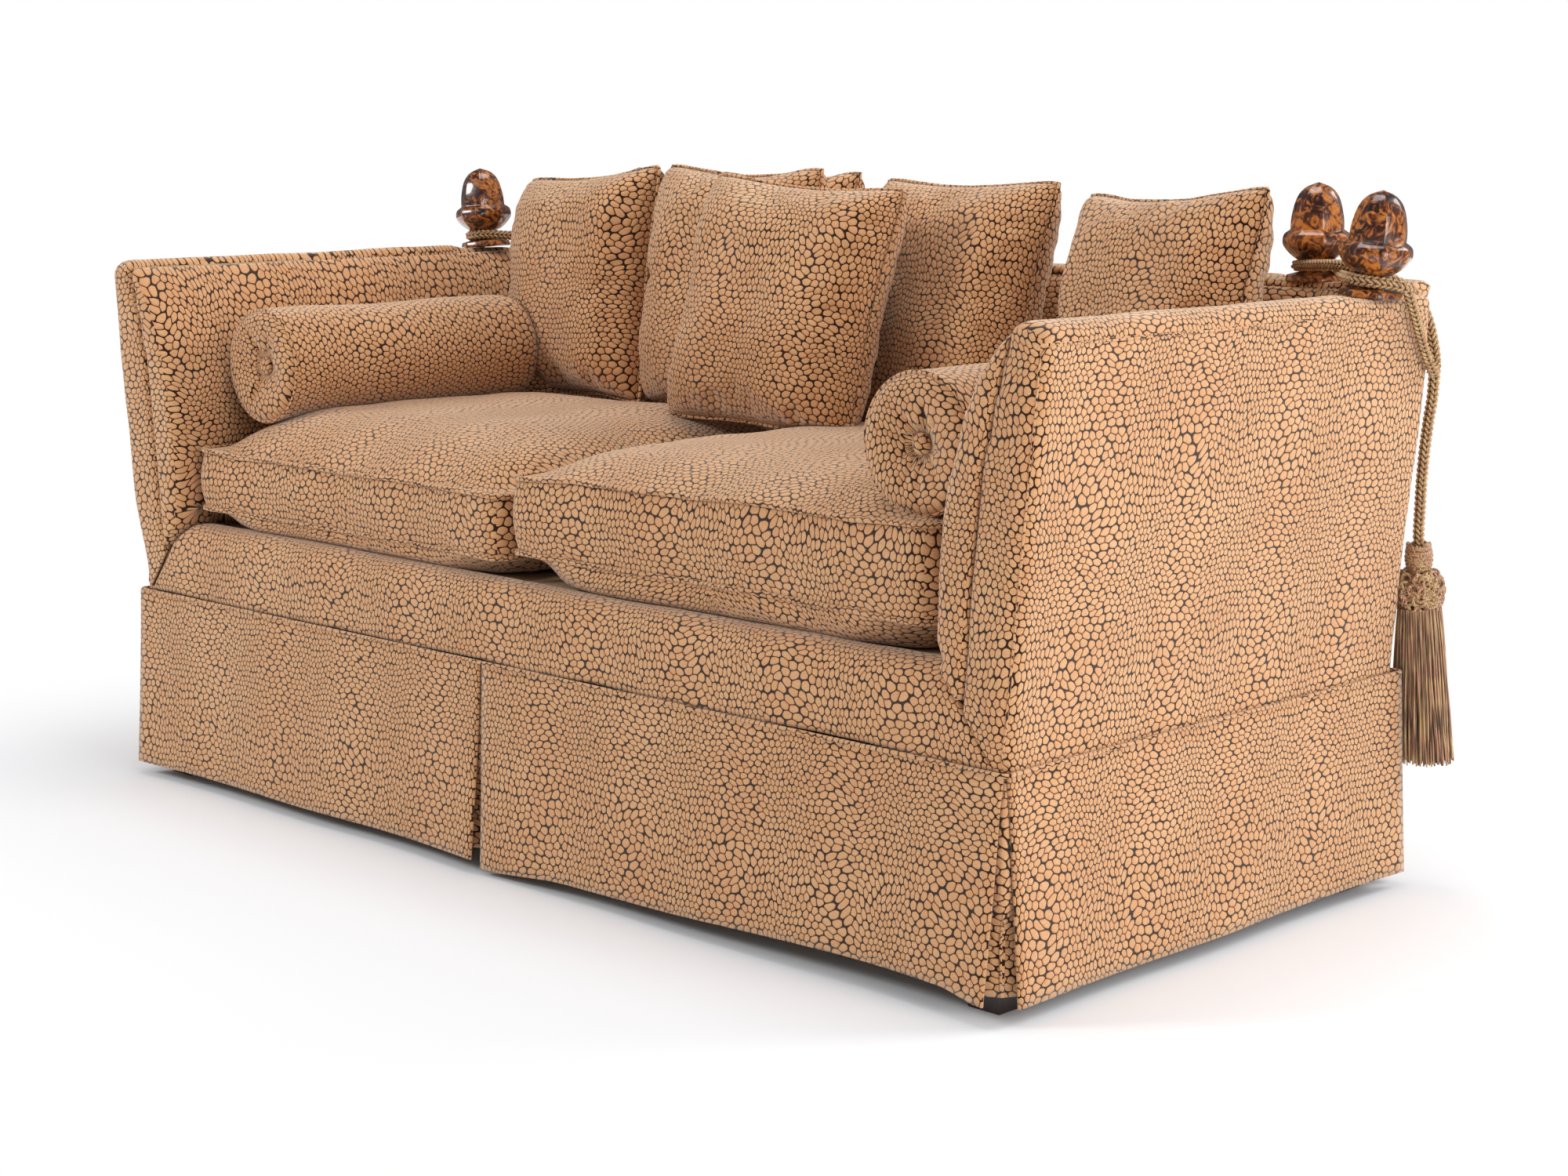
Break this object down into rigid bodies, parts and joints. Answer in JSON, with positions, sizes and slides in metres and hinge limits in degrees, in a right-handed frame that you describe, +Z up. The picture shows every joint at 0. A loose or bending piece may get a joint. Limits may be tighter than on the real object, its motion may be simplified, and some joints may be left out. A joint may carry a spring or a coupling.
{
  "type": "knole sofa",
  "caption": "Upholstered knole sofa with high straight drop arms level with the back, held by cords looped round turned finials, loose cushions and a skirt to the floor.",
  "frame": {"origin": "on the floor under the middle of the sofa's box", "axes": "+X along the sofa's length, to the right seen from the front; +Y to the back; +Z up"},
  "size_m": [1.91, 0.9596, 0.969],
  "materials": {
    "fabric": "tan chenille woven with small outlined cells",
    "lining": "plain matt cotton",
    "jute": "woven webbing",
    "cord": "satin braided cord and thread",
    "wood": "plain sawn hardwood",
    "dark_wood": "dark stain",
    "lacquer": "mottled gloss lacquer",
    "steel": "zinc plated"
  },
  "bodies": {
    "sofa": {"rail_front": "wood", "rail_back": "wood", "rail_side_left": "wood", "rail_side_right": "wood", "back_frame": "wood", "foot_front_left": "dark_wood", "foot_front_right": "dark_wood", "foot_back_left": "dark_wood", "foot_back_right": "dark_wood", "seat_webbing": "jute", "seat_deck": "lining", "seat_front_border": "fabric", "back_inside_pad": "fabric", "back_outside_cover": "fabric", "skirt_front_left": "fabric", "skirt_front_right": "fabric", "skirt_side_left": "fabric", "skirt_side_right": "fabric", "skirt_back": "fabric", "pleat_front_left": "fabric", "pleat_front_right": "fabric", "pleat_rear_left": "fabric", "pleat_rear_right": "fabric", "pleat_centre": "fabric", "seat_cushion_left": "fabric", "seat_cushion_right": "fabric", "bolster_left": "fabric", "bolster_right": "fabric", "bolster_button_left": "fabric", "bolster_button_right": "fabric", "pillow_back_centre": "fabric", "pillow_right_centre": "fabric", "pillow_left_centre": "fabric", "pillow_left": "fabric", "pillow_right": "fabric", "pillow_front": "fabric", "back_finial_left": "lacquer", "back_finial_right": "lacquer", "hinge_rail_leaf_left": "steel", "hinge_rail_leaf_right": "steel", "tie_rope_left": "cord", "tie_rope_right": "cord"},
    "arm_left": {"arm_frame_left": "wood", "arm_outside_cover_left": "fabric", "arm_inside_pad_left": "fabric", "arm_finial_left": "lacquer", "hinge_arm_leaf_left": "steel", "hinge_pin_left": "steel"},
    "tassel_left": {"tassel_cord_left": "cord", "tassel_head_left": "cord", "tassel_fringe_left": "cord"},
    "arm_right": {"arm_frame_right": "wood", "arm_outside_cover_right": "fabric", "arm_inside_pad_right": "fabric", "arm_finial_right": "lacquer", "hinge_arm_leaf_right": "steel", "hinge_pin_right": "steel"},
    "tassel_right": {"tassel_cord_right": "cord", "tassel_head_right": "cord", "tassel_fringe_right": "cord"}
  },
  "joints": [
    {"name": "arm_right_drop", "type": "hinge", "parent": "sofa", "child": "arm_right", "pos_m": [0.876, -0.05325, 0.29585], "axis": [0, 1, 0], "range_deg": [0, 20], "deforming": ["tie_rope_right"]},
    {"name": "tassel_right_hang", "type": "hinge", "parent": "arm_right", "child": "tassel_right", "pos_m": [0.924, 0.36475, 0.71], "axis": [0, 1, 0], "range_deg": [-20, 0]},
    {"name": "arm_left_drop", "type": "hinge", "parent": "sofa", "child": "arm_left", "pos_m": [-0.876, -0.05325, 0.29585], "axis": [0, -1, 0], "range_deg": [0, 20], "deforming": ["tie_rope_left"]},
    {"name": "tassel_left_hang", "type": "hinge", "parent": "arm_left", "child": "tassel_left", "pos_m": [-0.924, 0.36475, 0.71], "axis": [0, -1, 0], "range_deg": [-20, 0]}
  ],
  "couplings": [
    {"joint": "tassel_right_hang", "follows": "arm_right_drop", "ratio": -1},
    {"joint": "tassel_left_hang", "follows": "arm_left_drop", "ratio": -1}
  ]
}
